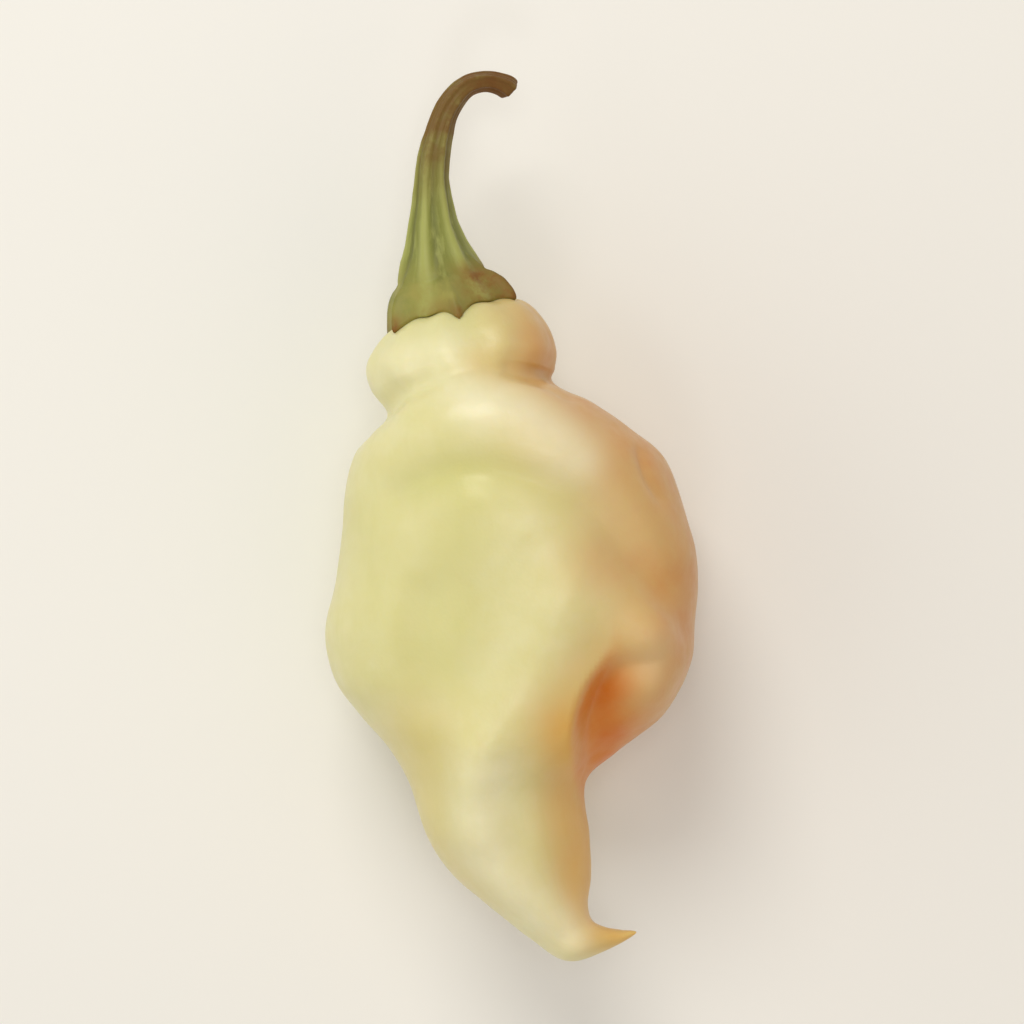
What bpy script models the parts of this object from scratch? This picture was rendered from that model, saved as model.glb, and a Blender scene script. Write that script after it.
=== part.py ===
# Seasoning pepper, as picked: one pale yellow-green pod lying on its side, with its calyx and stem.
# Units are metres and +Z is up. The stem points along +Y, the tail of the pod along -Y.
# The origin lies on the surface that the pepper rests on, under the middle of its box.

import math

import bmesh
import bpy
from mathutils import Vector
from mathutils.bvhtree import BVHTree

MM = 0.001

# Pod. Sections from under the calyx to the tip of the tail, in mm: left edge (x, y), right edge (x, y),
# how far the middle bows towards the stem, height of the middle, then the rise above and the fall below it
# as shares of half the width.
POD_SECTIONS = (
    (-6.0, 19.6, -6.0, 19.6, 0.0, 17.4, 1.00, 1.00),  # middle of the dish under the calyx
    (-9.4, 19.5, -2.5, 20.9, 0.0, 17.4, 1.00, 1.00),
    (-12.3, 17.9, 0.9, 21.2, 0.2, 17.3, 0.92, 0.94),  # rim of the collar
    (-13.8, 16.0, 3.3, 19.1, 0.6, 17.2, 0.93, 0.96),
    (-14.4, 14.3, 4.4, 16.5, 1.1, 17.1, 0.97, 1.00),  # widest of the collar
    (-13.9, 12.3, 4.4, 14.5, 1.7, 17.0, 1.06, 1.00),
    (-12.4, 9.8, 4.5, 13.1, 2.1, 16.9, 1.19, 1.00),  # pinch below the collar
    (-14.0, 7.8, 8.2, 11.1, 2.2, 16.7, 1.05, 0.99),
    (-15.6, 5.9, 12.0, 8.4, 1.7, 16.5, 0.96, 0.98),  # shoulder
    (-16.5, 2.4, 15.5, 5.2, 0.9, 16.3, 0.92, 0.96),
    (-16.9, -2.6, 17.6, -0.9, 0.2, 16.1, 0.875, 0.945),
    (-17.5, -7.2, 18.6, -5.7, 0.0, 15.8, 0.82, 0.905),  # belly
    (-18.5, -11.6, 18.6, -10.6, 0.0, 15.5, 0.79, 0.86),
    (-17.7, -16.1, 17.7, -15.4, 0.0, 15.3, 0.81, 0.84),
    (-15.2, -19.8, 15.2, -19.9, 0.0, 15.3, 0.94, 0.88),  # foot of the knob
    (-12.3, -23.2, 10.8, -23.6, 0.0, 15.7, 1.15, 0.96),
    (-10.2, -26.7, 7.7, -26.6, 0.0, 16.4, 1.30, 1.00),  # top of the tail
    (-8.4, -31.6, 8.0, -31.6, 0.0, 17.3, 1.21, 0.98),
    (-5.7, -35.8, 7.9, -35.7, 0.0, 18.6, 1.12, 0.98),
    (-1.5, -39.1, 7.6, -38.4, 0.0, 20.0, 1.08, 1.00),
    (2.0, -41.8, 8.0, -40.0, 0.0, 20.6, 1.02, 1.02),  # curl of the tip
    (5.2, -43.6, 9.3, -40.7, 0.0, 20.8, 1.02, 1.02),
    (8.9, -43.1, 10.9, -41.0, 0.0, 20.8, 1.00, 1.00),
    (12.3, -41.3, 12.3, -41.3, 0.0, 20.8, 1.00, 1.00),  # tip
)
PLAN_MIDDLE = Vector((0.1, 0.25, 0.0))  # middle of the pepper's box in the tables' own plan, in mm
POD_SQUARENESS = 0.93  # power on sine and cosine: 1 gives round sections, less gives fuller ones

# Forms of the skin: height in mm (creases are negative), half-width in mm, and the line that the form
# follows, as (x, y) points in mm seen from above. The bosses stand straight up, and the other forms follow
# the skin.
BOSSES = (
    (3.2, 4.4, ((15.4, -11.6), (16.4, -13.8), (15.8, -16.6))),  # knob
    (0.5, 3.2, ((0.4, 18.0), (1.8, 16.4))),  # right lobe of the collar
    (0.4, 3.2, ((-10.6, 15.8), (-10.8, 14.4))),  # left lobe of the collar
)
UPPER_FORMS = (
    # roll of the shoulder, which runs on down the right flank
    (0.8, 3.3, ((-9.0, 9.0), (-4.1, 10.2), (1.1, 9.4), (5.0, 7.0), (9.0, 4.2), (12.8, 0.8), (15.6, -3.4))),
    (-0.4, 1.5, ((-12.4, 9.8), (-10.4, 11.6), (-8.2, 12.6))),  # pinch at the left
    (-0.8, 1.5, ((0.2, 14.2), (2.2, 13.8), (4.0, 13.2), (5.6, 12.4))),  # pinch at the right
    (-0.3, 1.6, ((-2.2, 17.0), (-2.0, 15.4))),  # which turns up between the lobes
    # arched fold below the roll, which runs on down and out above the knob
    (-0.9, 2.1, ((-11.3, 1.7), (-8.3, 3.5), (-4.1, 4.4), (0.2, 3.8), (5.6, 1.9), (9.2, -0.8), (11.6, -3.8),
                 (13.8, -6.6), (16.0, -9.2), (18.0, -11.0))),
    (0.5, 3.6, ((-12.4, -8.6), (-12.2, -14.6))),  # swelling low at the left
    (-0.5, 2.4, ((-8.3, -8.5), (-8.8, -13.2), (-7.9, -19.6), (-6.4, -25.9), (-5.4, -29.0))),  # left valley
    (1.3, 4.0, ((4.6, -10.5), (2.8, -14.6), (-0.4, -19.4), (-2.8, -23.8), (-3.6, -28.9))),  # belly to tail
    # ridge of the tail
    (0.8, 2.3, ((-2.8, -22.5), (-3.8, -28.2), (-2.6, -32.4), (0.2, -36.0), (3.6, -39.4), (6.0, -41.6))),
    (-0.5, 2.8, ((5.2, -27.5), (6.4, -31.0), (6.0, -35.5))),  # right flank of the tail falls away
    (0.9, 3.2, ((6.2, -6.8), (10.0, -8.8), (13.0, -11.0))),  # ridge out to the knob
    (-0.25, 0.9, ((12.4, 6.0), (12.9, 3.4), (14.1, 1.4))),  # short crease at the right of the shoulder
)
# Edge of the belly and the tail, with the knob tucked in below it at the right: (x, y, depth of the step,
# width past the step over which the skin comes back to its own height) in mm, from the stem's end down.
TAIL_EDGE = (
    (9.6, -12.4, 0.0, 1.6),
    (8.6, -14.0, 0.5, 1.8),
    (7.0, -16.3, 1.9, 2.8),
    (6.1, -18.9, 3.4, 4.0),
    (5.8, -21.5, 3.9, 4.4),
    (6.1, -24.4, 3.2, 4.2),
    (6.9, -27.2, 1.2, 4.2),
    (7.8, -30.0, 0.0, 4.2),
)
STEP_START = -0.3  # mm past the edge where the step begins
STEP_WIDTH = 1.9
UNDER_FORMS = (
    (-1.5, 2.6, ((-7.6, 10.0), (-11.4, 0.0), (-10.8, -12.0), (-6.6, -23.0), (-1.6, -33.0))),  # left suture
    (-1.5, 2.6, ((2.0, 12.4), (10.4, 3.0), (12.4, -8.0), (8.4, -20.0), (5.6, -32.0))),  # right suture
    (0.9, 3.0, ((-13.2, -8.0), (-11.6, -17.0))),  # swelling of the left chamber
    (-0.7, 2.4, ((-4.0, 4.6), (1.5, 3.6), (6.0, 5.0))),  # fold below the shoulder
)
UPPER_FROM = -0.15  # slope of the skin (z of its normal) where the upper forms begin
UPPER_FULL = 0.45  # and where they have their whole height
UNDER_FROM = 0.15
UNDER_FULL = -0.45
FORM_STEPS = 4  # straight pieces between two points of a form's line

# Calyx and stem
STEM_GAP = 0.3  # mm between the solids of the calyx and the pod
STEM_LINE = (  # middle of the stem, from the calyx's seat to its cut end, in mm
    (-6.0, 19.9, 17.4),
    (-6.7, 22.6, 17.6),
    (-7.3, 25.6, 17.9),
    (-7.7, 29.2, 18.2),
    (-7.8, 33.6, 18.5),
    (-7.3, 37.2, 18.5),
    (-6.3, 40.2, 18.1),
    (-4.6, 42.4, 17.4),
    (-2.5, 43.2, 16.5),
    (-0.5, 42.8, 15.5),
    (0.9, 41.6, 14.5),
)
# Outline of the calyx and stem: distance along the stem line and radius, both in mm, from the middle of the
# calyx's underside round its margin and up to the cut end.
STEM_OUTLINE = (
    (0.0, 0.0),
    (0.0, 1.6),
    (0.0, 3.2),
    (0.0, 4.6),
    (0.0, 5.7),  # lower edge of the margin
    (0.35, 6.15),
    (1.0, 6.2),  # upper edge of the margin
    (2.2, 5.7),
    (3.1, 5.1),
    (4.2, 4.4),
    (5.4, 3.7),
    (6.8, 3.05),
    (9.2, 2.35),
    (11.4, 1.9),
    (13.7, 1.6),
    (16.5, 1.42),
    (19.0, 1.24),
    (21.5, 1.12),
    (24.0, 1.03),
    (26.5, 1.0),
    (28.4, 1.08),  # swelling where the stem broke off
    (28.9, 0.95),
    (28.9, 0.0),
)
TEETH = 6
FIRST_TOOTH = math.radians(84)  # the tooth that points up
TOOTH_REACH = 1.6  # mm that a tooth runs out past the notches beside it
TOOTH_SHARPNESS = 1.4  # power on the wave between two teeth: more gives narrower teeth
TOOTH_OFFSET = 0.35  # share of the reach that the notches are cut back by
MARGIN_FROM = 3.0  # radius in mm where the teeth begin to show
MARGIN_FULL = 5.8
LOWER_EDGE = 4  # row of the outline where the ribs begin
SEAT_REACH = 4.0  # mm along the stem over which the calyx stops following the collar
RIB_HEIGHT = 0.07  # share of the stem's radius
RIB_FADE = 0.5  # share of the ribs' height that is lost at the margin
FRAME_STEP = 0.05  # part of a row of the stem line over which its direction is read
RAY_START = 30.0  # mm above the collar from which its height is measured

POD_SEGMENTS = 64
POD_RINGS = 60
STEM_SEGMENTS = 48
STEM_RINGS = 44

POD_COLOUR = (0.70, 0.64, 0.30, 1.0)
POD_ROUGHNESS = 0.35
STEM_COLOUR = (0.26, 0.33, 0.08, 1.0)
STEM_ROUGHNESS = 0.5


def between(rows, place, before, after):
    """Value at a place along the rows, on a smooth curve through all of them."""
    last = len(rows) - 1
    low = min(int(place), last - 1)
    share = place - low
    a = rows[low - 1] if low > 0 else before
    b = rows[low]
    c = rows[low + 1]
    d = rows[low + 2] if low + 2 <= last else after
    blended = []
    for p, q, r, s in zip(a, b, c, d):
        bend = 2 * p - 5 * q + 4 * r - s
        twist = 3 * q - p - 3 * r + s
        blended.append(q + share * 0.5 * (r - p + share * (bend + share * twist)))
    return blended


def swapped(row):
    """A pod section with its edges exchanged: the outline runs over each end into the other edge."""
    return row[2:4] + row[0:2] + row[4:]


def eased(value, start, full):
    share = min(max((value - start) / (full - start), 0.0), 1.0)
    return share * share * (3 - 2 * share)


def rounded(value):
    return math.copysign(abs(value) ** POD_SQUARENESS, value)


def smooth_line(line):
    """Closely spaced points on a smooth curve through the points of a line."""
    rows = [Vector(point) for point in line]
    before = rows[0] * 2 - rows[1]
    after = rows[-1] * 2 - rows[-2]
    steps = (len(rows) - 1) * FORM_STEPS
    return [Vector(between(rows, step / FORM_STEPS, before, after)) for step in range(steps + 1)]


def distance_to_curve(point, curve):
    nearest = (point - curve[0]).length
    for start, end in zip(curve, curve[1:]):
        side = end - start
        share = min(max((point - start).dot(side) / side.length_squared, 0.0), 1.0)
        nearest = min(nearest, (start + side * share - point).length)
    return nearest


def form_height(point, forms):
    """Height in mm of all the forms at one point seen from above."""
    total = 0.0
    for height, half_width, curve in forms:
        total += height * math.exp(-((distance_to_curve(point, curve) / half_width) ** 2))
    return total


def pod_section_point(place, turn):
    """Point of the plain pod in mm. turn is 0 at the right edge and a quarter circle at the top."""
    before = swapped(POD_SECTIONS[1])
    after = swapped(POD_SECTIONS[-2])
    row = between(POD_SECTIONS, place, before, after)
    left = Vector(row[0:2])
    right = Vector(row[2:4])
    middle = (left + right) / 2
    half = (right - left) / 2
    bow, height, rise, fall = row[4:]
    across = rounded(math.cos(turn))
    up = rounded(math.sin(turn))
    share = rise if up > 0 else fall
    plan = middle + half * across
    return Vector((plan.x, plan.y + bow * (1 - across ** 2), height + half.length * share * up))


def smooth_forms(forms):
    return [(height, half_width, smooth_line(line)) for height, half_width, line in forms]


def tuck_depth(point, edge):
    """How far the knob lies below the skin's own height at one point, in mm, beside the edge of the tail."""
    for above, below in zip(edge, edge[1:]):
        if above.y >= point.y >= below.y:
            nearest = above.lerp(below, (above.y - point.y) / (above.y - below.y))
            past = point.x - nearest.x
            fade = math.exp(-((max(past - STEP_WIDTH, 0.0) / nearest.w) ** 2))
            return nearest.z * eased(past, STEP_START, STEP_WIDTH) * fade
    return 0.0


def upper_share(vert):
    return eased(vert.normal.z, UPPER_FROM, UPPER_FULL)


def under_share(vert):
    return eased(vert.normal.z, UNDER_FROM, UNDER_FULL)


def make_pod(collection):
    bpy.ops.mesh.primitive_uv_sphere_add(segments=POD_SEGMENTS, ring_count=POD_RINGS, radius=1.0)
    pod = bpy.context.object
    pod.name = "pod"
    bm = bmesh.new()
    bm.from_mesh(pod.data)
    for vert in bm.verts:
        place = math.acos(min(max(vert.co.z, -1.0), 1.0)) / math.pi * (len(POD_SECTIONS) - 1)
        turn = math.atan2(-vert.co.y, vert.co.x)
        vert.co = pod_section_point(place, turn)
    bm.normal_update()
    bosses = smooth_forms(BOSSES)
    tail_edge = smooth_line(TAIL_EDGE)
    for vert in bm.verts:
        plan = vert.co.xy
        vert.co.z += upper_share(vert) * (form_height(plan, bosses) - tuck_depth(plan, tail_edge))
    bm.normal_update()
    upper_forms = smooth_forms(UPPER_FORMS)
    under_forms = smooth_forms(UNDER_FORMS)
    lifts = []
    for vert in bm.verts:
        lift = upper_share(vert) * form_height(vert.co.xy, upper_forms)
        lift += under_share(vert) * form_height(vert.co.xy, under_forms)
        lifts.append(vert.normal * lift)
    for vert, lift in zip(bm.verts, lifts):
        vert.co = (vert.co + lift - PLAN_MIDDLE) * MM
        vert.co.z = max(vert.co.z, 0.0)  # the small flat spot that it rests on
    bm.to_mesh(pod.data)
    bm.free()
    pod.data.shade_smooth()
    pod.data.materials.append(material("pod_skin", POD_COLOUR, POD_ROUGHNESS))
    place_in(collection, pod)
    return pod


def stem_frame(along):
    """Middle of the stem and its forward, right and up directions at a distance along it, all in mm."""
    points = [Vector(point) for point in STEM_LINE]
    lengths = [(b - a).length for a, b in zip(points, points[1:])]
    step = 0
    left_over = along
    while step < len(lengths) - 1 and left_over > lengths[step]:
        left_over -= lengths[step]
        step += 1
    place = step + min(left_over / lengths[step], 1.0)
    before = points[0] * 2 - points[1]
    after = points[-1] * 2 - points[-2]
    middle = Vector(between(points, place, before, after))
    ahead = Vector(between(points, min(place + FRAME_STEP, len(lengths)), before, after))
    behind = Vector(between(points, max(place - FRAME_STEP, 0.0), before, after))
    forward = (ahead - behind).normalized()
    right = forward.cross(Vector((0, 0, 1))).normalized()
    return middle, forward, right, right.cross(forward)


def tooth_share(turn):
    """1 at the tip of a tooth and 0 half way to the next one."""
    wave = abs(math.sin((turn - FIRST_TOOTH) * TEETH / 2))
    return (1 - wave) ** TOOTH_SHARPNESS


def seat_height(pod_tree, point, forward):
    """Distance in mm from a point of the calyx's seat plane to the collar, along the stem."""
    start = point + forward * RAY_START
    hit = pod_tree.ray_cast((start - PLAN_MIDDLE) * MM, -forward, 2 * RAY_START * MM)
    if hit[0] is None:
        return 0.0
    return RAY_START - hit[3] / MM


def mirrored(row):
    """A row of the stem's outline on the other side of the stem line."""
    return (row[0], -row[1])


def stem_point(place, turn, pod_tree):
    before = mirrored(STEM_OUTLINE[1])
    after = mirrored(STEM_OUTLINE[-2])
    along, radius = between(STEM_OUTLINE, place, before, after)
    along = max(along, 0.0)
    near_margin = eased(radius, MARGIN_FROM, MARGIN_FULL)
    radius += TOOTH_REACH * (tooth_share(turn) - TOOTH_OFFSET) * near_margin
    ribs = -math.cos((turn - FIRST_TOOTH) * TEETH)  # a rib rises from each notch
    if place > LOWER_EDGE:
        radius *= 1 + RIB_HEIGHT * ribs * (1 - RIB_FADE * near_margin)
    middle, forward, right, up = stem_frame(along)
    side = right * math.cos(turn) + up * math.sin(turn)
    point = middle + side * radius
    seat_middle, seat_forward, seat_right, seat_up = stem_frame(0.0)
    seat_side = seat_right * math.cos(turn) + seat_up * math.sin(turn)
    on_seat = seat_middle + seat_side * radius
    follow = 1 - eased(along, 0.0, SEAT_REACH)
    rise = seat_height(pod_tree, on_seat, seat_forward) + STEM_GAP
    return point + seat_forward * rise * follow


def make_stem(collection, pod):
    pod_tree = BVHTree.FromObject(pod, bpy.context.evaluated_depsgraph_get())
    bpy.ops.mesh.primitive_uv_sphere_add(segments=STEM_SEGMENTS, ring_count=STEM_RINGS, radius=1.0)
    stem = bpy.context.object
    stem.name = "stem_calyx"
    bm = bmesh.new()
    bm.from_mesh(stem.data)
    for vert in bm.verts:
        place = math.acos(min(max(-vert.co.z, -1.0), 1.0)) / math.pi * (len(STEM_OUTLINE) - 1)
        turn = math.atan2(-vert.co.y, vert.co.x)
        vert.co = (stem_point(place, turn, pod_tree) - PLAN_MIDDLE) * MM
    bm.to_mesh(stem.data)
    bm.free()
    stem.data.shade_smooth()
    stem.data.materials.append(material("stem_green", STEM_COLOUR, STEM_ROUGHNESS))
    place_in(collection, stem)
    return stem


def material(name, colour, roughness):
    made = bpy.data.materials.new(name)
    made.use_nodes = True
    shader = made.node_tree.nodes["Principled BSDF"]
    shader.inputs["Base Color"].default_value = colour
    shader.inputs["Roughness"].default_value = roughness
    shader.inputs["Metallic"].default_value = 0.0
    return made


def place_in(collection, piece):
    for other in list(piece.users_collection):
        other.objects.unlink(piece)
    collection.objects.link(piece)


def main():
    for old in list(bpy.data.objects):
        bpy.data.objects.remove(old, do_unlink=True)
    collection = bpy.data.collections.new("seasoning_pepper")
    bpy.context.scene.collection.children.link(collection)
    pod = make_pod(collection)
    bpy.context.view_layer.update()
    make_stem(collection, pod)


main()
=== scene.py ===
# Seasoning pepper on a pale table, seen from straight above with its stem pointing up the picture.
import math

import bmesh
import bpy
import numpy as np
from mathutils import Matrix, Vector, noise
from mathutils.bvhtree import BVHTree


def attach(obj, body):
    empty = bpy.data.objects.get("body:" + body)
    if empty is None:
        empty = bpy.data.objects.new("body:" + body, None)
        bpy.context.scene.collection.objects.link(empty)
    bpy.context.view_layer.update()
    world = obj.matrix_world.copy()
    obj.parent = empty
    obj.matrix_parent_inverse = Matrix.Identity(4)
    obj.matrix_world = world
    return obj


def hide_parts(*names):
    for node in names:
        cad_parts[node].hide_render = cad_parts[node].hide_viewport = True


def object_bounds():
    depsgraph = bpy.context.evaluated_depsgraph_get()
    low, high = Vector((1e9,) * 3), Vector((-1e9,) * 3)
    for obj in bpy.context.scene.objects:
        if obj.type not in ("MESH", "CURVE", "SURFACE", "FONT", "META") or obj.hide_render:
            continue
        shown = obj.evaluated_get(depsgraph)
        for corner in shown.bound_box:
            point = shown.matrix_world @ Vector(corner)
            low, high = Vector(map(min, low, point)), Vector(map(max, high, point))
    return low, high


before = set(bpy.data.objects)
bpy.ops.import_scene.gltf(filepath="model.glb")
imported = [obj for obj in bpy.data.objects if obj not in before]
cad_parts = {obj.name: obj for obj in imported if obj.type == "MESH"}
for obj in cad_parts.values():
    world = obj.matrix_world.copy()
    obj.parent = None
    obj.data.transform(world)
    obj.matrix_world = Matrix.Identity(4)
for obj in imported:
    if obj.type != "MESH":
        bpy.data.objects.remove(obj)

mm = 0.001
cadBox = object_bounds()
planMiddle = np.array((0.1, 0.25, 0.0))  # middle of the pepper's box in the tables' plan, in mm


# Curves and forms that the pod and the stem share

def readRows(rows, place, before, after):
    # a smooth curve through all the rows, read at many places at once
    table = np.array([before, *rows, after], float)
    low = np.minimum(place.astype(int), len(rows) - 2)
    share = (place - low)[:, None]
    p, q, r, s = (table[low + step] for step in range(4))
    bend = 2 * p - 5 * q + 4 * r - s
    twist = 3 * q - p - 3 * r + s
    return q + share * 0.5 * (r - p + share * (bend + share * twist))


def smoothLine(line, steps=8):
    rows = np.array(line, float)
    places = np.linspace(0, len(rows) - 1, (len(rows) - 1) * steps + 1)
    return readRows(rows, places, rows[0] * 2 - rows[1], rows[-1] * 2 - rows[-2])


def eased(value, start, full):
    share = np.clip((value - start) / (full - start), 0.0, 1.0)
    return share * share * (3 - 2 * share)


def distanceTo(line, plan):
    curve = smoothLine(line)
    nearest = np.full(len(plan), np.inf)
    for start, end in zip(curve, curve[1:]):
        side = end - start
        share = np.clip((plan - start) @ side / (side @ side), 0.0, 1.0)
        nearest = np.minimum(nearest, np.linalg.norm(plan - start - share[:, None] * side, axis=1))
    return nearest


def layForms(forms, plan):
    # each form is (height, half-width, line seen from above), and they add up
    total = np.zeros(len(plan))
    for height, halfWidth, line in forms:
        total += height * np.exp(-((distanceTo(line, plan) / halfWidth) ** 2))
    return total


def layLumps(lumps, points):
    # soft noise: each layer is (height, width of a lump, seed)
    total = np.zeros(len(points))
    for height, width, seed in lumps:
        shift = Vector((seed, seed * 0.7, -seed))
        total += height * np.array([noise.noise(Vector(point) / width + shift) for point in points])
    return total


def ballPlaces(bm, rowCount, fromBelow=False):
    # where each point of the ball lies along the rows, and its turn round them
    ball = np.array([vert.co for vert in bm.verts])
    height = -ball[:, 2] if fromBelow else ball[:, 2]
    place = np.arccos(np.clip(height, -1.0, 1.0)) / math.pi * (rowCount - 1)
    return place, np.arctan2(-ball[:, 1], ball[:, 0])


def movePoints(bm, points):
    for vert, point in zip(bm.verts, points):
        vert.co = point
    bm.normal_update()


def readNormals(bm):
    return np.array([vert.normal for vert in bm.verts])


def finishPiece(name, bm, masks):
    # masks are one number or one vector for each point, which the materials read by name
    mesh = bpy.data.meshes.new(name)
    bm.to_mesh(mesh)
    bm.free()
    mesh.shade_smooth()
    for maskName, values in masks.items():
        kind = "FLOAT" if values.ndim == 1 else "FLOAT_VECTOR"
        field = "value" if values.ndim == 1 else "vector"
        mask = mesh.attributes.new(maskName, kind, "POINT")
        mask.data.foreach_set(field, values.astype(np.float32).ravel())
    piece = bpy.data.objects.new(name, mesh)
    bpy.context.scene.collection.objects.link(piece)
    return piece


# Pod

podShape = {
    "segments": 256,
    "rings": 264,
    "squareness": 0.93,  # power on sine and cosine: 1 gives round sections, less gives fuller ones
    # left edge (x, y), right edge (x, y), how far the middle bows towards the stem, height of the middle,
    # then the rise and the fall as shares of half the width
    "sections": (
        (-6.0, 19.6, -6.0, 19.6, 0.0, 17.4, 1.00, 1.00),  # middle of the dish under the calyx
        (-9.4, 19.5, -2.5, 20.9, 0.0, 17.4, 1.00, 1.00),
        (-12.3, 17.9, 0.9, 21.2, 0.2, 17.3, 0.92, 0.94),  # rim of the collar
        (-13.8, 16.0, 3.3, 19.1, 0.6, 17.2, 0.93, 0.96),
        (-14.4, 14.3, 4.4, 16.5, 1.1, 17.1, 0.97, 1.00),  # widest of the collar
        (-13.9, 12.3, 4.4, 14.5, 1.7, 17.0, 1.06, 1.00),
        (-12.4, 9.8, 4.5, 13.1, 2.1, 16.9, 1.19, 1.00),  # pinch below the collar
        (-14.0, 7.8, 8.2, 11.1, 2.2, 16.7, 1.05, 0.99),
        (-15.6, 5.9, 12.0, 8.4, 1.7, 16.5, 0.96, 0.98),  # shoulder
        (-16.5, 2.4, 15.5, 5.2, 0.9, 16.3, 0.92, 0.96),
        (-16.9, -2.6, 17.6, -0.9, 0.2, 16.1, 0.875, 0.945),
        (-17.5, -7.2, 18.6, -5.7, 0.0, 15.8, 0.82, 0.905),  # belly
        (-18.5, -11.6, 18.6, -10.6, 0.0, 15.5, 0.79, 0.86),
        (-17.7, -16.1, 17.7, -15.4, 0.0, 15.3, 0.81, 0.84),
        (-15.2, -19.8, 15.2, -19.9, 0.0, 15.3, 0.94, 0.88),  # foot of the knob
        (-12.3, -23.2, 10.8, -23.6, 0.0, 15.7, 1.15, 0.96),
        (-10.2, -26.7, 7.7, -26.6, 0.0, 16.4, 1.30, 1.00),  # top of the tail
        (-8.4, -31.6, 8.0, -31.6, 0.0, 17.3, 1.21, 0.98),
        (-5.7, -35.8, 7.9, -35.7, 0.0, 18.6, 1.12, 0.98),
        (-1.5, -39.1, 7.6, -38.4, 0.0, 20.0, 1.08, 1.00),
        (2.0, -41.8, 8.0, -40.0, 0.0, 20.6, 1.02, 1.02),  # curl of the tip
        (5.2, -43.6, 9.3, -40.7, 0.0, 20.8, 1.02, 1.02),
        (8.9, -43.1, 10.9, -41.0, 0.0, 20.8, 1.00, 1.00),
        (12.3, -41.3, 12.3, -41.3, 0.0, 20.8, 1.00, 1.00),  # tip
    ),
    "facing": (-0.15, 0.45),  # how far the skin faces up where its forms start, and where they are full
    # bosses that stand straight up
    "raised": (
        (3.2, 4.4, ((15.4, -11.6), (16.4, -13.8), (15.8, -16.6))),  # knob
        (0.5, 3.2, ((0.4, 18.0), (1.8, 16.4))),  # right lobe of the collar
        (0.4, 3.2, ((-10.6, 15.8), (-10.8, 14.4))),  # left lobe of the collar
    ),
    # edge of the belly and the tail, with the knob tucked in below it: (x, y, depth of the step, width past
    # the step over which the skin comes back to its own height)
    "tailEdge": (
        (9.6, -12.4, 0.0, 1.6),
        (8.6, -14.0, 0.5, 1.8),
        (7.0, -16.3, 1.9, 2.8),
        (6.1, -18.9, 3.4, 4.0),
        (5.8, -21.5, 3.9, 4.4),
        (6.1, -24.4, 3.2, 4.2),
        (6.9, -27.2, 1.2, 4.2),
        (7.8, -30.0, 0.0, 4.2),
    ),
    "stepStart": -0.3,  # mm past the edge
    "stepWidth": 1.9,
    # folds and ridges along the skin
    "upperForms": (
        # roll of the shoulder, which runs on down the right flank
        (0.8, 3.3, ((-9.0, 9.0), (-4.1, 10.2), (1.1, 9.4), (5.0, 7.0), (9.0, 4.2), (12.8, 0.8),
                    (15.6, -3.4))),
        (-0.4, 1.5, ((-12.4, 9.8), (-10.4, 11.6), (-8.2, 12.6))),  # pinch at the left
        (-0.8, 1.5, ((0.2, 14.2), (2.2, 13.8), (4.0, 13.2), (5.6, 12.4))),  # pinch at the right
        (-0.3, 1.6, ((-2.2, 17.0), (-2.0, 15.4))),  # which turns up between the lobes
        # arched fold below the roll, which runs on down and out above the knob
        (-0.9, 2.1, ((-11.3, 1.7), (-8.3, 3.5), (-4.1, 4.4), (0.2, 3.8), (5.6, 1.9), (9.2, -0.8),
                     (11.6, -3.8), (13.8, -6.6), (16.0, -9.2), (18.0, -11.0))),
        (0.5, 3.6, ((-12.4, -8.6), (-12.2, -14.6))),  # swelling low at the left
        # valley at the left
        (-0.5, 2.4, ((-8.3, -8.5), (-8.8, -13.2), (-7.9, -19.6), (-6.4, -25.9), (-5.4, -29.0))),
        # ridge from the belly down to the tail, then along the tail
        (1.3, 4.0, ((4.6, -10.5), (2.8, -14.6), (-0.4, -19.4), (-2.8, -23.8), (-3.6, -28.9))),
        (0.8, 2.3, ((-2.8, -22.5), (-3.8, -28.2), (-2.6, -32.4), (0.2, -36.0), (3.6, -39.4), (6.0, -41.6))),
        (-0.5, 2.8, ((5.2, -27.5), (6.4, -31.0), (6.0, -35.5))),  # right flank of the tail falls away
        (0.9, 3.2, ((6.2, -6.8), (10.0, -8.8), (13.0, -11.0))),  # ridge out to the knob
        (-0.25, 0.9, ((12.4, 6.0), (12.9, 3.4), (14.1, 1.4))),  # short crease at the right of the shoulder
    ),
    "underForms": (
        # two sutures
        (-1.5, 2.6, ((-7.6, 10.0), (-11.4, 0.0), (-10.8, -12.0), (-6.6, -23.0), (-1.6, -33.0))),
        (-1.5, 2.6, ((2.0, 12.4), (10.4, 3.0), (12.4, -8.0), (8.4, -20.0), (5.6, -32.0))),
        (0.9, 3.0, ((-13.2, -8.0), (-11.6, -17.0))),  # swelling of the left chamber
        (-0.7, 2.4, ((-4.0, 4.6), (1.5, 3.6), (6.0, 5.0))),  # fold below the shoulder
    ),
    # narrow folds that only this finer skin can hold
    "fineFolds": (
        (-0.15, 0.70, ((2.4, 13.7), (4.0, 13.2), (6.0, 12.4))),  # shoulder meets collar
        (-0.20, 0.45, ((12.4, 6.0), (12.8, 3.6), (13.9, 1.6))),  # short crease
    ),
    "lumps": ((0.14, 7.0, 3.1), (0.05, 2.6, 11.7)),  # height and width in mm, and seed
    "pleats": 11,  # which gather towards the calyx
    "pleatHeight": 0.10,
    "pleatRows": ((0.5, 2.0), (7.5, 4.5)),  # sections where they come in, at the calyx and further down
    "pleatBend": ((1.8, 6.0, 21.0),),  # radians that they stray, width in mm, and seed
    "flatSoftness": 0.35,  # mm over which the skin rounds into the flat spot
}


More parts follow.
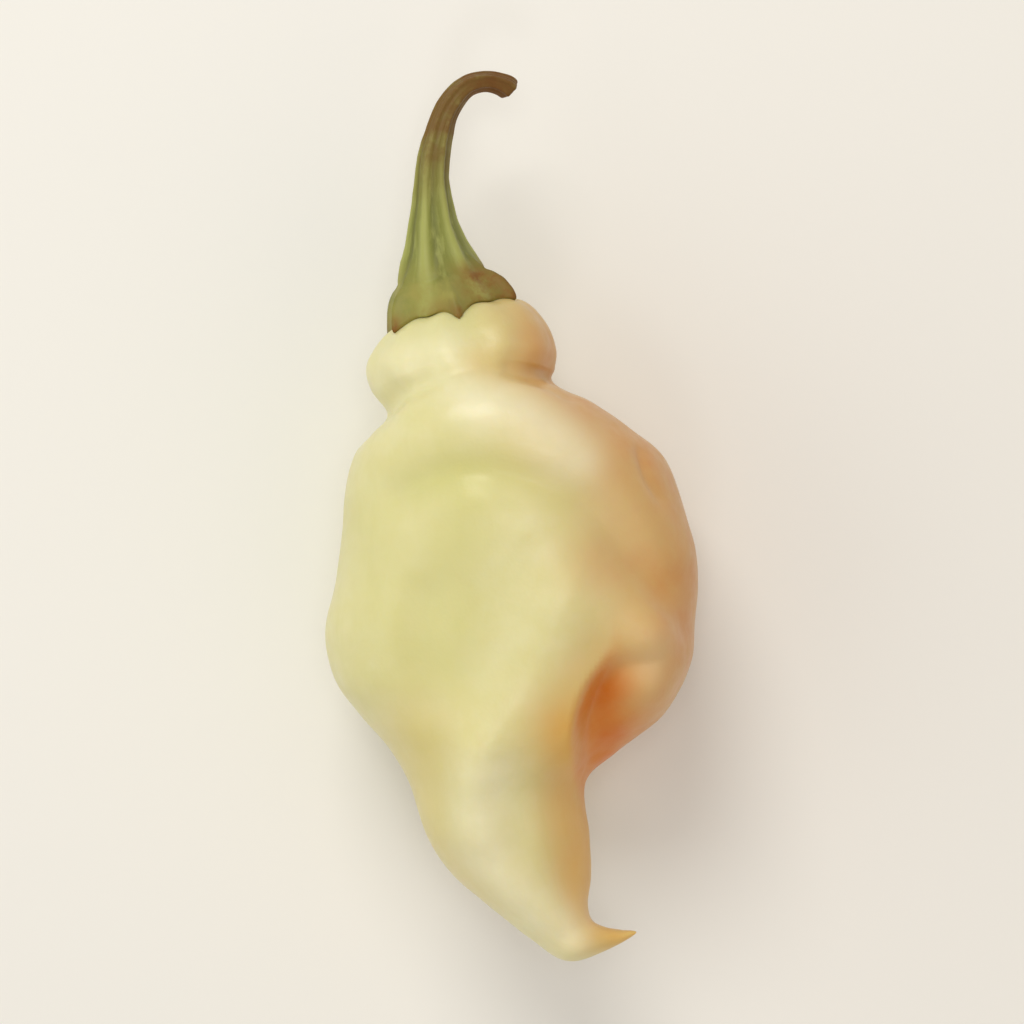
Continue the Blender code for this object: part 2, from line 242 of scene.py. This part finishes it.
def readEdge(plan):
    # how far each point lies to the right of the tail's edge, then the step's depth and the width past it
    edgeX, edgeY, depths, widths = smoothLine(podShape["tailEdge"])[::-1].T
    x, y = plan.T
    return x - np.interp(y, edgeY, edgeX), np.interp(y, edgeY, depths), np.interp(y, edgeY, widths)


def tuckKnob(plan):
    past, depth, width = readEdge(plan)
    fade = np.exp(-((np.maximum(past - podShape["stepWidth"], 0.0) / width) ** 2))
    return -depth * eased(past, podShape["stepStart"], podShape["stepWidth"]) * fade


def makePod():
    rows = podShape["sections"]
    bm = bmesh.new()
    bmesh.ops.create_uvsphere(bm, radius=1.0, u_segments=podShape["segments"],
                              v_segments=podShape["rings"])
    place, turn = ballPlaces(bm, len(rows))

    # past each end the outline runs over into the other edge
    swapped = [row[2:4] + row[0:2] + row[4:] for row in rows]
    section = readRows(rows, place, swapped[1], swapped[-2])
    left, right = section[:, 0:2], section[:, 2:4]
    across = np.copysign(np.abs(np.cos(turn)) ** podShape["squareness"], np.cos(turn))
    up = np.copysign(np.abs(np.sin(turn)) ** podShape["squareness"], np.sin(turn))
    plan = (left + right) / 2 + (right - left) / 2 * across[:, None]
    plan[:, 1] += section[:, 4] * (1 - across ** 2)
    halfWidth = np.linalg.norm(right - left, axis=1) / 2
    height = section[:, 5] + halfWidth * np.where(up > 0, section[:, 6], section[:, 7]) * up
    movePoints(bm, np.column_stack((plan, height)))
    upper = eased(readNormals(bm)[:, 2], *podShape["facing"])
    height += upper * (layForms(podShape["raised"], plan) + tuckKnob(plan))
    movePoints(bm, np.column_stack((plan, height)))

    normals = readNormals(bm)
    points = np.array([vert.co for vert in bm.verts])
    upper = eased(normals[:, 2], *podShape["facing"])
    under = eased(-normals[:, 2], *podShape["facing"])
    lift = upper * layForms(podShape["upperForms"] + podShape["fineFolds"], plan)
    lift += under * layForms(podShape["underForms"], plan)

    # soft lumps, then the pleats
    lift += layLumps(podShape["lumps"], points)
    atCalyx, furtherDown = podShape["pleatRows"]
    pleated = podShape["pleatHeight"] * eased(place, *atCalyx) * eased(place, *furtherDown)
    lift += pleated * np.cos(turn * podShape["pleats"] + layLumps(podShape["pleatBend"], points))
    points = points + normals * lift[:, None] - planMiddle

    # it flattens softly where it rests
    soft = podShape["flatSoftness"]
    points[:, 2] = (points[:, 2] + np.sqrt(points[:, 2] ** 2 + soft * soft)) / 2
    movePoints(bm, points)

    masks = paintPod(plan, place, turn, normals)
    tree = BVHTree.FromBMesh(bm)
    bmesh.ops.scale(bm, vec=(mm, mm, mm), verts=bm.verts)
    return finishPiece("podSkin", bm, masks), tree


# strengths from 0 to 1, half-width in mm, and a line seen from above
podStains = {
    "blushAndShade": (
        (0.84, 7.6, ((8.5, 12.0), (15.5, 5.0), (19.5, -2.0), (19.0, -10.0))),  # ripening right flank, partly painted warm shade where it turns from the lights
        (0.40, 4.2, ((4.0, 20.4), (4.8, 14.4))),  # right lobe of the collar, its own tint and painted shade where it turns from the light
        (0.25, 2.6, ((-0.8, 20.6), (2.0, 20.2), (4.0, 17.6))),  # rim of the same lobe
        (0.45, 4.0, ((8.6, -4.4), (11.5, -6.0), (16.4, -8.6))),  # painted shade in the fold out above the knob
        (0.60, 3.4, ((17.4, -11.0), (17.0, -16.0), (13.6, -20.5))),  # painted warm shade on the outer side of the knob, which turns from the lights
    ),
    "ochreAndShade": (
        (0.40, 3.4, ((8.6, -13.6), (6.6, -16.6), (5.4, -21.0))),  # painted warm shade on the edge of the belly over the knob
        (0.68, 3.8, ((5.6, -21.0), (6.8, -27.0), (7.8, -34.0), (8.6, -39.0))),  # painted warm shade on the right flank of the tail, which turns from the lights
        (0.18, 5.0, ((-9.0, -22.0), (-8.0, -30.0), (-4.0, -37.0))),  # left flank of the tail
        (0.30, 2.0, ((-3.0, 14.6), (-0.5, 13.6), (3.2, 12.4))),  # painted shade in the fold between the collar and the shoulder
        (0.55, 1.8, ((8.6, -40.6), (11.4, -41.8), (12.8, -41.0))),  # tip
    ),
    "creaseShade": (
        (0.92, 4.0, ((9.0, -17.0), (8.8, -19.0), (9.8, -22.4), (9.4, -26.0))),  # painted shade and reflected orange light on the knob below the tail's edge
    ),
    "green": (
        (0.45, 4.0, ((-4.0, 2.5), (-5.5, -4.0), (-6.5, -14.0))),  # belly
        (0.30, 4.0, ((-14.0, 0.0), (-12.5, -6.0), (-11.5, -15.0))),  # left side of the belly
        (0.40, 3.0, ((-8.0, -22.0), (-6.0, -30.0))),  # left of the tail's ridge
        (0.55, 2.2, ((-9.5, 3.2), (-4.1, 4.6), (0.2, 4.0), (5.6, 2.0))),  # painted shade in the arched fold
    ),
    "paleAndHighlight": (
        (0.52, 2.6, ((-3.4, 10.4), (0.6, 10.0), (3.6, 8.0), (6.0, 5.4))),  # painted highlight on the roll of the shoulder
        # painted highlight along the ridge of the tail
        (0.48, 2.6, ((-2.4, -25.5), (-2.9, -28.6), (-2.2, -32.8), (1.3, -37.4), (5.5, -41.0))),
        (0.35, 3.2, ((-11.0, 15.0), (-7.0, 15.4))),  # painted highlight on the left lobe of the collar
        (0.15, 2.2, ((14.6, -12.0), (13.6, -15.4))),  # painted highlight on the knob
    ),
}

podTints = {
    "rightSideShade": 0.35,  # painted warm shade: how warm the side that faces right, away from the lights, is painted
    "shadeFacing": (0.15, 0.95),  # how far the skin faces right
    "calyxShadeGreen": 0.35,  # painted shade: how much greener and darker the skin is painted round the calyx, where the calyx shades it
    "calyxRows": (4.5, 2.5),
    "creaseShadeStart": (-0.6, 0.6),  # mm past the tail's edge
    "grainTurn": 9.0,  # how closely the veins in the flesh lie round the pod
}


def glaze(*layers):
    # stains laid over each other as glazes, so that together they never pass 1
    bare = np.ones(len(layers[0]))
    for layer in layers:
        bare *= 1 - layer
    return 1 - bare


def paintPod(plan, place, turn, normals):
    masks = {}
    for name, stains in podStains.items():
        masks[name] = glaze(*(layForms([stain], plan) for stain in stains))
    # painted warm shade on the skin that faces right, away from the lights
    shadedRight = podTints["rightSideShade"] * eased(normals[:, 0], *podTints["shadeFacing"])
    masks["blushAndShade"] = glaze(masks["blushAndShade"], shadedRight)
    # painted shade of the calyx on the skin round it
    shadeNearCalyx = podTints["calyxShadeGreen"] * eased(place, *podTints["calyxRows"])
    masks["green"] = glaze(masks["green"], shadeNearCalyx)
    past, depth, width = readEdge(plan)
    # the painted crease shade starts at the tail's edge and covers the wall below it
    masks["creaseShade"] *= eased(past, *podTints["creaseShadeStart"])
    around = podTints["grainTurn"]
    masks["grain"] = np.column_stack((np.cos(turn) * around, np.sin(turn) * around, place))
    return masks


# Stem and calyx

stemShape = {
    "segments": 180,
    "rings": 300,
    "press": 0.06,  # mm that the calyx sinks into the collar, so that no light shows under it
    "line": (  # middle of the stem, from the calyx's seat to its cut end, in mm
        (-6.0, 19.9, 17.4),
        (-6.7, 22.6, 17.6),
        (-7.3, 25.6, 17.9),
        (-7.7, 29.2, 18.2),
        (-7.8, 33.6, 18.5),
        (-7.3, 37.2, 18.5),
        (-6.3, 40.2, 18.1),
        (-4.6, 42.4, 17.4),
        (-2.5, 43.2, 16.5),
        (-0.5, 42.8, 15.5),
        (0.9, 41.6, 14.5),
    ),
    "outline": (  # distance along the line and radius, from the calyx's underside round its margin and up
        (0.0, 0.0),
        (0.0, 1.6),
        (0.0, 3.2),
        (0.0, 4.6),
        (0.0, 5.8),  # lower edge of the margin
        (0.25, 6.25),
        (0.8, 6.25),  # upper edge of the margin
        (1.8, 5.8),
        (3.0, 5.15),
        (4.2, 4.4),
        (5.4, 3.7),
        (6.8, 3.05),
        (9.2, 2.35),
        (11.4, 1.9),
        (13.7, 1.6),
        (16.5, 1.42),
        (19.0, 1.24),
        (21.5, 1.12),
        (24.0, 1.03),
        (26.5, 1.0),
        (28.3, 1.1),  # swelling where the stem broke off
        (28.85, 0.98),
        (28.8, 0.6),
        (28.4, 0.3),  # pith shrunk back
        (28.35, 0.0),
    ),
    "undersideRows": (4.0, 5.0),  # rows of the outline over which the underside turns into the margin
    "teeth": 6,
    "firstTooth": math.radians(84),  # the tooth that points up
    "toothReach": 1.6,
    "toothSharpness": 1.4,
    "notchShare": 0.35,  # share of the reach by which the notches cut in
    "marginRadii": (3.0, 5.8),  # mm from the middle over which the teeth come in
    "ribHeight": 0.07,  # share of the stem's radius
    "fineRibs": 0.35,  # height of the ribs in between, as a share of the others
    "fineRibTurn": 0.8,
    "ribFade": 0.5,  # share of the ribs that is lost on the margin
    "seatReach": 5.4,  # mm along the stem over which the calyx stops following the collar
    "lumps": ((0.10, 3.0, 5.3), (0.04, 1.1, 8.9)),  # height and width in mm, and seed
    "ringPlace": 3.9,  # mm along the stem to the ring where the calyx is pinched in
    "ringStray": ((0.5, 2.5, 14.6),),  # mm that it strays along the stem, width in mm, and seed
    "ringWidth": 0.40,
    "ringDepth": 0.10,
    "veinWidth": 0.40,  # veins that run down to the tips of the teeth, in mm
    "veinHeight": 0.18,
    "veinFull": 1.8,  # mm along the stem
}

# the pairs are mm along the stem where a tint starts and where it is full
stemTints = {
    "age": (9.0, 20.0),
    "calyx": (7.0, 2.5),
    "margin": (2.0, 0.4),
    "betweenTips": 0.35,  # how brown the margin is between the tips of the teeth
    "tips": (0.5, 1.0),  # share of a tooth's height
    "calyxRightShade": (6.0, 2.5),  # painted shade and reflected brown light on the right side of the calyx
    "calyxShadeFacing": (0.1, 0.65),  # how far a point lies to the right
    "calyxShadeShare": 0.95,
    "end": (21.0, 26.0),
    "endShare": 0.6,  # the rest is kept for the broken end itself
    "brokenRows": (21.0, 22.0),  # rows of the outline
    "fibreTurn": 1.5,  # how closely the fibres lie round the stem and along it
    "fibreAlong": 0.12,
}


def stemFrames(along):
    # middle of the stem and its forward, right and up directions at each distance along it
    rows = np.array(stemShape["line"], float)
    lengths = np.linalg.norm(np.diff(rows, axis=0), axis=1)
    starts = np.concatenate(([0.0], np.cumsum(lengths)))
    place = np.interp(along, starts, np.arange(len(rows)))
    before, after = rows[0] * 2 - rows[1], rows[-1] * 2 - rows[-2]
    middle = readRows(rows, place, before, after)
    step = 0.05  # of a row, to either side
    ahead = readRows(rows, np.minimum(place + step, len(rows) - 1), before, after)
    behind = readRows(rows, np.maximum(place - step, 0.0), before, after)
    forward = ahead - behind
    forward /= np.linalg.norm(forward, axis=1)[:, None]
    right = np.cross(forward, (0.0, 0.0, 1.0))
    right /= np.linalg.norm(right, axis=1)[:, None]
    return middle, forward, right, np.cross(right, forward)


def makeStem(podTree):
    outline = stemShape["outline"]
    bm = bmesh.new()
    bmesh.ops.create_uvsphere(bm, radius=1.0, u_segments=stemShape["segments"],
                              v_segments=stemShape["rings"])
    place, turn = ballPlaces(bm, len(outline), fromBelow=True)
    # past each end the outline runs on into its other side
    before = (outline[1][0], -outline[1][1])
    after = (outline[-2][0], -outline[-2][1])
    along, radius = readRows(outline, place, before, after).T
    along = np.maximum(along, 0.0)

    # teeth on the margin, and ribs up the stem from the notches between them
    toothTurn = (turn - stemShape["firstTooth"]) * stemShape["teeth"]
    tooth = (1 - np.abs(np.sin(toothTurn / 2))) ** stemShape["toothSharpness"]
    nearMargin = eased(radius, *stemShape["marginRadii"])
    radius = radius + stemShape["toothReach"] * (tooth - stemShape["notchShare"]) * nearMargin
    ribs = stemShape["fineRibs"] * np.cos(toothTurn * 2 + stemShape["fineRibTurn"]) - np.cos(toothTurn)
    onStem = eased(place, *stemShape["undersideRows"])
    ribHeight = stemShape["ribHeight"] * onStem * (1 - stemShape["ribFade"] * nearMargin)
    radius = radius * (1 + ribHeight * ribs)

    middle, forward, right, up = stemFrames(along)
    cos, sin = np.cos(turn)[:, None], np.sin(turn)[:, None]
    points = middle + (right * cos + up * sin) * radius[:, None]

    # the calyx follows the collar under it
    seatMiddle, seatForward, seatRight, seatUp = (part[0] for part in stemFrames(np.zeros(1)))
    onSeat = seatMiddle + (seatRight * cos + seatUp * sin) * radius[:, None] - planMiddle
    follow = 1 - eased(along, 0.0, stemShape["seatReach"])
    reach = 30.0  # mm, well past the collar to both sides
    rise = np.zeros(len(points))
    for index in np.flatnonzero(follow > 0):
        hit = podTree.ray_cast(Vector(onSeat[index] + seatForward * reach), Vector(-seatForward), 2 * reach)
        rise[index] = reach - hit[3] if hit[0] else 0.0
    points = points + seatForward * ((rise - stemShape["press"]) * follow)[:, None] - planMiddle
    movePoints(bm, points)

    # unevenness of a grown stem, with the calyx's veins and ring
    lift = layLumps(stemShape["lumps"], points)
    ringOff = along - stemShape["ringPlace"] - layLumps(stemShape["ringStray"], points)
    lift -= stemShape["ringDepth"] * np.exp(-((ringOff / stemShape["ringWidth"]) ** 2))
    veinOff = np.sin(toothTurn / 2) / (stemShape["teeth"] / 2) * radius
    vein = np.exp(-((veinOff / stemShape["veinWidth"]) ** 2))
    lift += stemShape["veinHeight"] * vein * eased(along, stemShape["ringPlace"], stemShape["veinFull"])
    movePoints(bm, points + readNormals(bm) * (lift * onStem)[:, None])

    masks = paintStem(place, turn, along, tooth, nearMargin)
    masks["edge"] *= onStem
    masks["rib"] = np.clip((ribs + 1) / 2, 0.0, 1.0)
    bmesh.ops.scale(bm, vec=(mm, mm, mm), verts=bm.verts)
    return finishPiece("stemAndCalyx", bm, masks)


def paintStem(place, turn, along, tooth, nearMargin):
    tipShare = eased(tooth, *stemTints["tips"])
    brown = stemTints["betweenTips"] + (1 - stemTints["betweenTips"]) * tipShare
    margin = nearMargin * eased(along, *stemTints["margin"]) * brown
    # painted shade and reflected brown light on the calyx's right side
    calyxRightShade = eased(np.cos(turn), *stemTints["calyxShadeFacing"]) * eased(along, *stemTints["calyxRightShade"])
    towardsEnd, broken = eased(along, *stemTints["end"]), eased(place, *stemTints["brokenRows"])
    around = stemTints["fibreTurn"]
    return {
        "age": eased(along, *stemTints["age"]),
        "calyx": eased(along, *stemTints["calyx"]),
        "edge": np.maximum(margin, stemTints["calyxShadeShare"] * calyxRightShade),
        "end": stemTints["endShare"] * towardsEnd + (1 - stemTints["endShare"]) * broken,
        "fibre": np.column_stack((np.cos(turn) * around, np.sin(turn) * around,
                                  along * stemTints["fibreAlong"])),
    }


# Materials

def hexColour(code):
    # an sRGB hex value as linear light
    channels = [int(code[start:start + 2], 16) / 255 for start in (1, 3, 5)]
    return [c / 12.92 if c <= 0.04045 else ((c + 0.055) / 1.055) ** 2.4 for c in channels] + [1.0]


def perSize(size):
    # noise scale on Object coordinates, which are in metres, for features of this size in mm
    return 1000 / size


# sockets of a Mix node that mixes colours, by number because their names repeat in the node
mixShare, mixUnder, mixOver, mixResult = 0, 6, 7, 2


def addNode(tree, kind, inputs=None, **settings):
    node = tree.nodes.new(kind)
    for name, value in settings.items():
        setattr(node, name, value)
    for socket, value in (inputs or {}).items():
        if isinstance(value, bpy.types.NodeSocket):
            tree.links.new(value, node.inputs[socket])
        else:
            node.inputs[socket].default_value = value
    return node


def startMaterial(name, settings):
    made = bpy.data.materials.new(name)
    made.use_nodes = True
    shader = made.node_tree.nodes["Principled BSDF"]
    for socket, value in settings.items():
        shader.inputs[socket].default_value = value
    return made, made.node_tree, shader


skinLook = {
    "body": "#DDD79C",  # pale yellow-green flesh under clear skin
    "green": "#CBC87A",
    "blushAndShade": "#CF904B",  # ripening blush, also used for painted warm shade and reflected light on sides turned from the lights
    # ochre tone, also used for painted warm shade on flanks and in folds
    "ochreAndShade": "#DBA23A",
    # painted shade and reflected orange light in the crease under the tail's edge
    "creaseShade": "#D6770F",
    # paler clouds in the flesh, and painted highlights on the crests
    "paleAndHighlight": "#F2EED0",
    "stainOrder": ("green", "blushAndShade", "ochreAndShade", "paleAndHighlight", "creaseShade"),
    "cellSize": 0.35,  # mm
    "peelSize": 1.3,
    "mottleSize": 3.5,
}


def waxyPepperSkin():
    # ripe pepper skin, grown thin and waxed over juicy flesh: a satin gleam with light glowing through
    made, tree, shader = startMaterial("waxyPepperSkin", {
        "IOR": 1.42,
        "Subsurface Weight": 0.3,
        "Subsurface Radius": (1.0, 0.75, 0.35),
        "Subsurface Scale": 0.0014,
        "Coat Weight": 0.08,
        "Coat Roughness": 0.28,
    })
    where = addNode(tree, "ShaderNodeTexCoord").outputs["Object"]
    mask = {name: addNode(tree, "ShaderNodeAttribute", attribute_name=name) for name in
            (*skinLook["stainOrder"], "grain")}
    mottle = addNode(tree, "ShaderNodeTexNoise", {
        "Vector": where, "Scale": perSize(skinLook["mottleSize"]), "Detail": 4.0, "Roughness": 0.55})
    peel = addNode(tree, "ShaderNodeTexNoise", {
        "Vector": where, "Scale": perSize(skinLook["peelSize"]), "Detail": 2.0, "Roughness": 0.4})
    cells = addNode(tree, "ShaderNodeTexVoronoi", {
        "Vector": where, "Scale": perSize(skinLook["cellSize"])}, feature="F1")
    veins = addNode(tree, "ShaderNodeTexNoise", {
        "Vector": mask["grain"].outputs["Vector"], "Scale": 0.9, "Detail": 3.0, "Roughness": 0.5})

    # paler clouds and greener veins in the flesh, then the stains, among them painted shade, reflected light
    # and highlights, whose edges break up in the mottle
    cloud = addNode(tree, "ShaderNodeMapRange", {
        "Value": mottle.outputs["Fac"], "From Min": 0.35, "From Max": 0.7, "To Min": 0.0, "To Max": 0.22})
    vein = addNode(tree, "ShaderNodeMapRange", {
        "Value": veins.outputs["Fac"], "From Min": 0.5, "From Max": 0.75, "To Min": 0.0, "To Max": 0.14})
    ragged = addNode(tree, "ShaderNodeMapRange", {
        "Value": mottle.outputs["Fac"], "From Min": 0.3, "From Max": 0.7, "To Min": 0.88, "To Max": 1.1})
    layers = [(cloud.outputs["Result"], "paleAndHighlight"), (vein.outputs["Result"], "green")]
    for name in skinLook["stainOrder"]:
        share = addNode(tree, "ShaderNodeMath", {
            0: mask[name].outputs["Fac"], 1: ragged.outputs["Result"]}, operation="MULTIPLY", use_clamp=True)
        layers.append((share.outputs[0], name))
    colour = hexColour(skinLook["body"])
    for share, name in layers:
        laid = addNode(tree, "ShaderNodeMix", {
            mixShare: share, mixUnder: colour, mixOver: hexColour(skinLook[name])}, data_type="RGBA")
        colour = laid.outputs[mixResult]
    tree.links.new(colour, shader.inputs["Base Color"])

    gloss = addNode(tree, "ShaderNodeMapRange", {
        "Value": peel.outputs["Fac"], "From Min": 0.3, "From Max": 0.7, "To Min": 0.33, "To Max": 0.43})
    tree.links.new(gloss.outputs["Result"], shader.inputs["Roughness"])
    peelBump = addNode(tree, "ShaderNodeBump", {
        "Height": peel.outputs["Fac"], "Strength": 0.5, "Distance": 0.00008})
    cellBump = addNode(tree, "ShaderNodeBump", {
        "Height": cells.outputs["Distance"], "Strength": 0.25, "Distance": 0.00003,
        "Normal": peelBump.outputs["Normal"]})
    tree.links.new(cellBump.outputs["Normal"], shader.inputs["Normal"])
    return made


stemLook = {
    "green": "#868A42",
    "ridge": "#A3A65C",  # paler where a rib stands up, a painted highlight; also the pale fibres
    "groove": "#6D7034",
    # painted shade in the grooves between the ribs
    "calyx": "#98914A",
    "age": "#735726",  # olive brown towards the end
    # dry brown margin of the teeth, also painted shade on the calyx's right side
    "edge": "#7F501C",
    "end": "#6E4015",
    "fibreSize": 0.35,  # mm
    "blotchSize": 2.2,
    "grainSize": 0.3,
    # tints that break up into blotches, with the least and the most that each covers
    "blotched": (("calyx", 0.3, 1.0), ("age", 0.6, 1.25), ("edge", 0.3, 1.1)),
}


def ribbedPepperStem():
    # green pepper stalk, grown with ribs and drying from its end: matt, with pale fibres along it
    made, tree, shader = startMaterial("ribbedPepperStem", {
        "IOR": 1.4,
        "Subsurface Weight": 0.08,
        "Subsurface Radius": (0.6, 0.9, 0.25),
        "Subsurface Scale": 0.0006,
        "Specular IOR Level": 0.4,
    })
    where = addNode(tree, "ShaderNodeTexCoord").outputs["Object"]
    mask = {name: addNode(tree, "ShaderNodeAttribute", attribute_name=name) for name in
            ("rib", "age", "calyx", "edge", "end", "fibre")}
    fibres = addNode(tree, "ShaderNodeTexNoise", {
        "Vector": mask["fibre"].outputs["Vector"], "Scale": 1 / stemLook["fibreSize"], "Detail": 4.0,
        "Roughness": 0.6})
    blotches = addNode(tree, "ShaderNodeTexNoise", {
        "Vector": where, "Scale": perSize(stemLook["blotchSize"]), "Detail": 4.0, "Roughness": 0.6})
    grains = addNode(tree, "ShaderNodeTexNoise", {
        "Vector": where, "Scale": perSize(stemLook["grainSize"]), "Detail": 2.0, "Roughness": 0.5})

    # painted highlight on the ridges, painted shade in the grooves and pale fibres, then what age and
    # dryness lay over them, with painted shade on the calyx's right side
    onRidge = addNode(tree, "ShaderNodeMapRange", {
        "Value": mask["rib"].outputs["Fac"], "From Min": 0.45, "From Max": 1.0})
    inGroove = addNode(tree, "ShaderNodeMapRange", {
        "Value": mask["rib"].outputs["Fac"], "From Min": 0.4, "From Max": 0.0})
    onFibre = addNode(tree, "ShaderNodeMapRange", {
        "Value": fibres.outputs["Fac"], "From Min": 0.52, "From Max": 0.72, "To Max": 0.7})
    layers = [(onRidge.outputs["Result"], "ridge"), (inGroove.outputs["Result"], "groove"),
              (onFibre.outputs["Result"], "ridge")]
    for name, least, most in stemLook["blotched"]:
        span = addNode(tree, "ShaderNodeMapRange", {
            "Value": blotches.outputs["Fac"], "From Min": 0.35, "From Max": 0.65,
            "To Min": least, "To Max": most})
        share = addNode(tree, "ShaderNodeMath", {
            0: mask[name].outputs["Fac"], 1: span.outputs["Result"]}, operation="MULTIPLY", use_clamp=True)
        layers.append((share.outputs[0], name))
    layers.append((mask["end"].outputs["Fac"], "end"))
    colour = hexColour(stemLook["green"])
    for share, name in layers:
        laid = addNode(tree, "ShaderNodeMix", {
            mixShare: share, mixUnder: colour, mixOver: hexColour(stemLook[name])}, data_type="RGBA")
        colour = laid.outputs[mixResult]
    tree.links.new(colour, shader.inputs["Base Color"])

    gloss = addNode(tree, "ShaderNodeMapRange", {
        "Value": blotches.outputs["Fac"], "From Min": 0.3, "From Max": 0.7, "To Min": 0.45, "To Max": 0.62})
    tree.links.new(gloss.outputs["Result"], shader.inputs["Roughness"])
    fibreBump = addNode(tree, "ShaderNodeBump", {
        "Height": fibres.outputs["Fac"], "Strength": 0.6, "Distance": 0.00012})
    grainBump = addNode(tree, "ShaderNodeBump", {
        "Height": grains.outputs["Fac"], "Strength": 0.35, "Distance": 0.00005,
        "Normal": fibreBump.outputs["Normal"]})
    tree.links.new(grainBump.outputs["Normal"], shader.inputs["Normal"])
    return made


# Table, light and camera

stageLook = {
    "table": "#F1F0EC",
    "tableShade": "#D8D6D0",
    "tableWidth": 1.6,
    "cloudSize": 40.0,  # mm
    # place in metres, colour, power in watts and width in metres
    "lights": {
        "key": ((-0.12, 0.38, 0.46), "#FFFBF2", 1.5, 0.30),
        "left": ((-0.50, -0.06, 0.30), "#FFFDF6", 0.78, 0.60),
        "top": ((0.01, 0.02, 0.62), "#FFFFFF", 0.40, 0.18),
        "low": ((-0.05, -0.26, 0.56), "#FFFFFF", 0.18, 0.12),
        "fill": ((0.35, -0.30, 0.40), "#FFD9B4", 0.42, 0.50),
    },
    "world": "#FBF8F2",
    "worldStrength": 0.42,
    "lens": 120.0,
    "sensor": 36.0,
    "fillShare": 0.86,  # share of the picture's height that the pepper takes
}


def makeTable():
    # board with matt emulsion rolled on: plain and pale, with faint clouds
    bm = bmesh.new()
    bmesh.ops.create_grid(bm, x_segments=1, y_segments=1, size=stageLook["tableWidth"] / 2)
    table = finishPiece("paleTable", bm, {})
    made, tree, shader = startMaterial("paintedBoard", {"Roughness": 0.6, "Specular IOR Level": 0.2})
    where = addNode(tree, "ShaderNodeTexCoord").outputs["Object"]
    clouds = addNode(tree, "ShaderNodeTexNoise", {
        "Vector": where, "Scale": perSize(stageLook["cloudSize"]), "Detail": 2.0})
    share = addNode(tree, "ShaderNodeMapRange", {"Value": clouds.outputs["Fac"], "To Max": 0.04})
    shade = addNode(tree, "ShaderNodeMix", {
        mixShare: share.outputs["Result"], mixUnder: hexColour(stageLook["table"]),
        mixOver: hexColour(stageLook["tableShade"])}, data_type="RGBA")
    tree.links.new(shade.outputs[mixResult], shader.inputs["Base Color"])
    table.data.materials.append(made)


def addLight(name, aim):
    place, colour, power, width = stageLook["lights"][name]
    lamp = bpy.data.lights.new(name, "AREA")
    lamp.energy = power
    lamp.color = hexColour(colour)[:3]
    lamp.shape = "DISK"
    lamp.size = width
    holder = bpy.data.objects.new(name, lamp)
    holder.location = place
    holder.rotation_euler = (aim - holder.location).to_track_quat("-Z", "Y").to_euler()
    bpy.context.scene.collection.objects.link(holder)


def makeCamera(low, high):
    lens = bpy.data.cameras.new("camera")
    lens.lens = stageLook["lens"]
    lens.sensor_width = stageLook["sensor"]
    camera = bpy.data.objects.new("camera", lens)
    bpy.context.scene.collection.objects.link(camera)
    middle = (low + high) / 2
    picture = (high.y - low.y) / stageLook["fillShare"]  # the picture is square
    camera.location = (middle.x, middle.y, middle.z + picture * lens.lens / lens.sensor_width)
    bpy.context.scene.camera = camera


def lightScene(low, high):
    scene = bpy.context.scene
    scene.view_settings.view_transform = "Standard"
    world = bpy.data.worlds.new("softRoom")
    scene.world = world
    world.use_nodes = True
    background = world.node_tree.nodes["Background"]
    background.inputs["Color"].default_value = hexColour(stageLook["world"])
    background.inputs["Strength"].default_value = stageLook["worldStrength"]
    for name in stageLook["lights"]:
        addLight(name, (low + high) / 2)


print("pod skin")
podSkin, podTree = makePod()
podSkin.data.materials.append(waxyPepperSkin())
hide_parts("pod")
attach(podSkin, "root")

print("stem and calyx")
stemAndCalyx = makeStem(podTree)
stemAndCalyx.data.materials.append(ribbedPepperStem())
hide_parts("stem_calyx")
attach(stemAndCalyx, "root")

print("table, light and camera")
makeTable()
lightScene(*cadBox)
makeCamera(*cadBox)
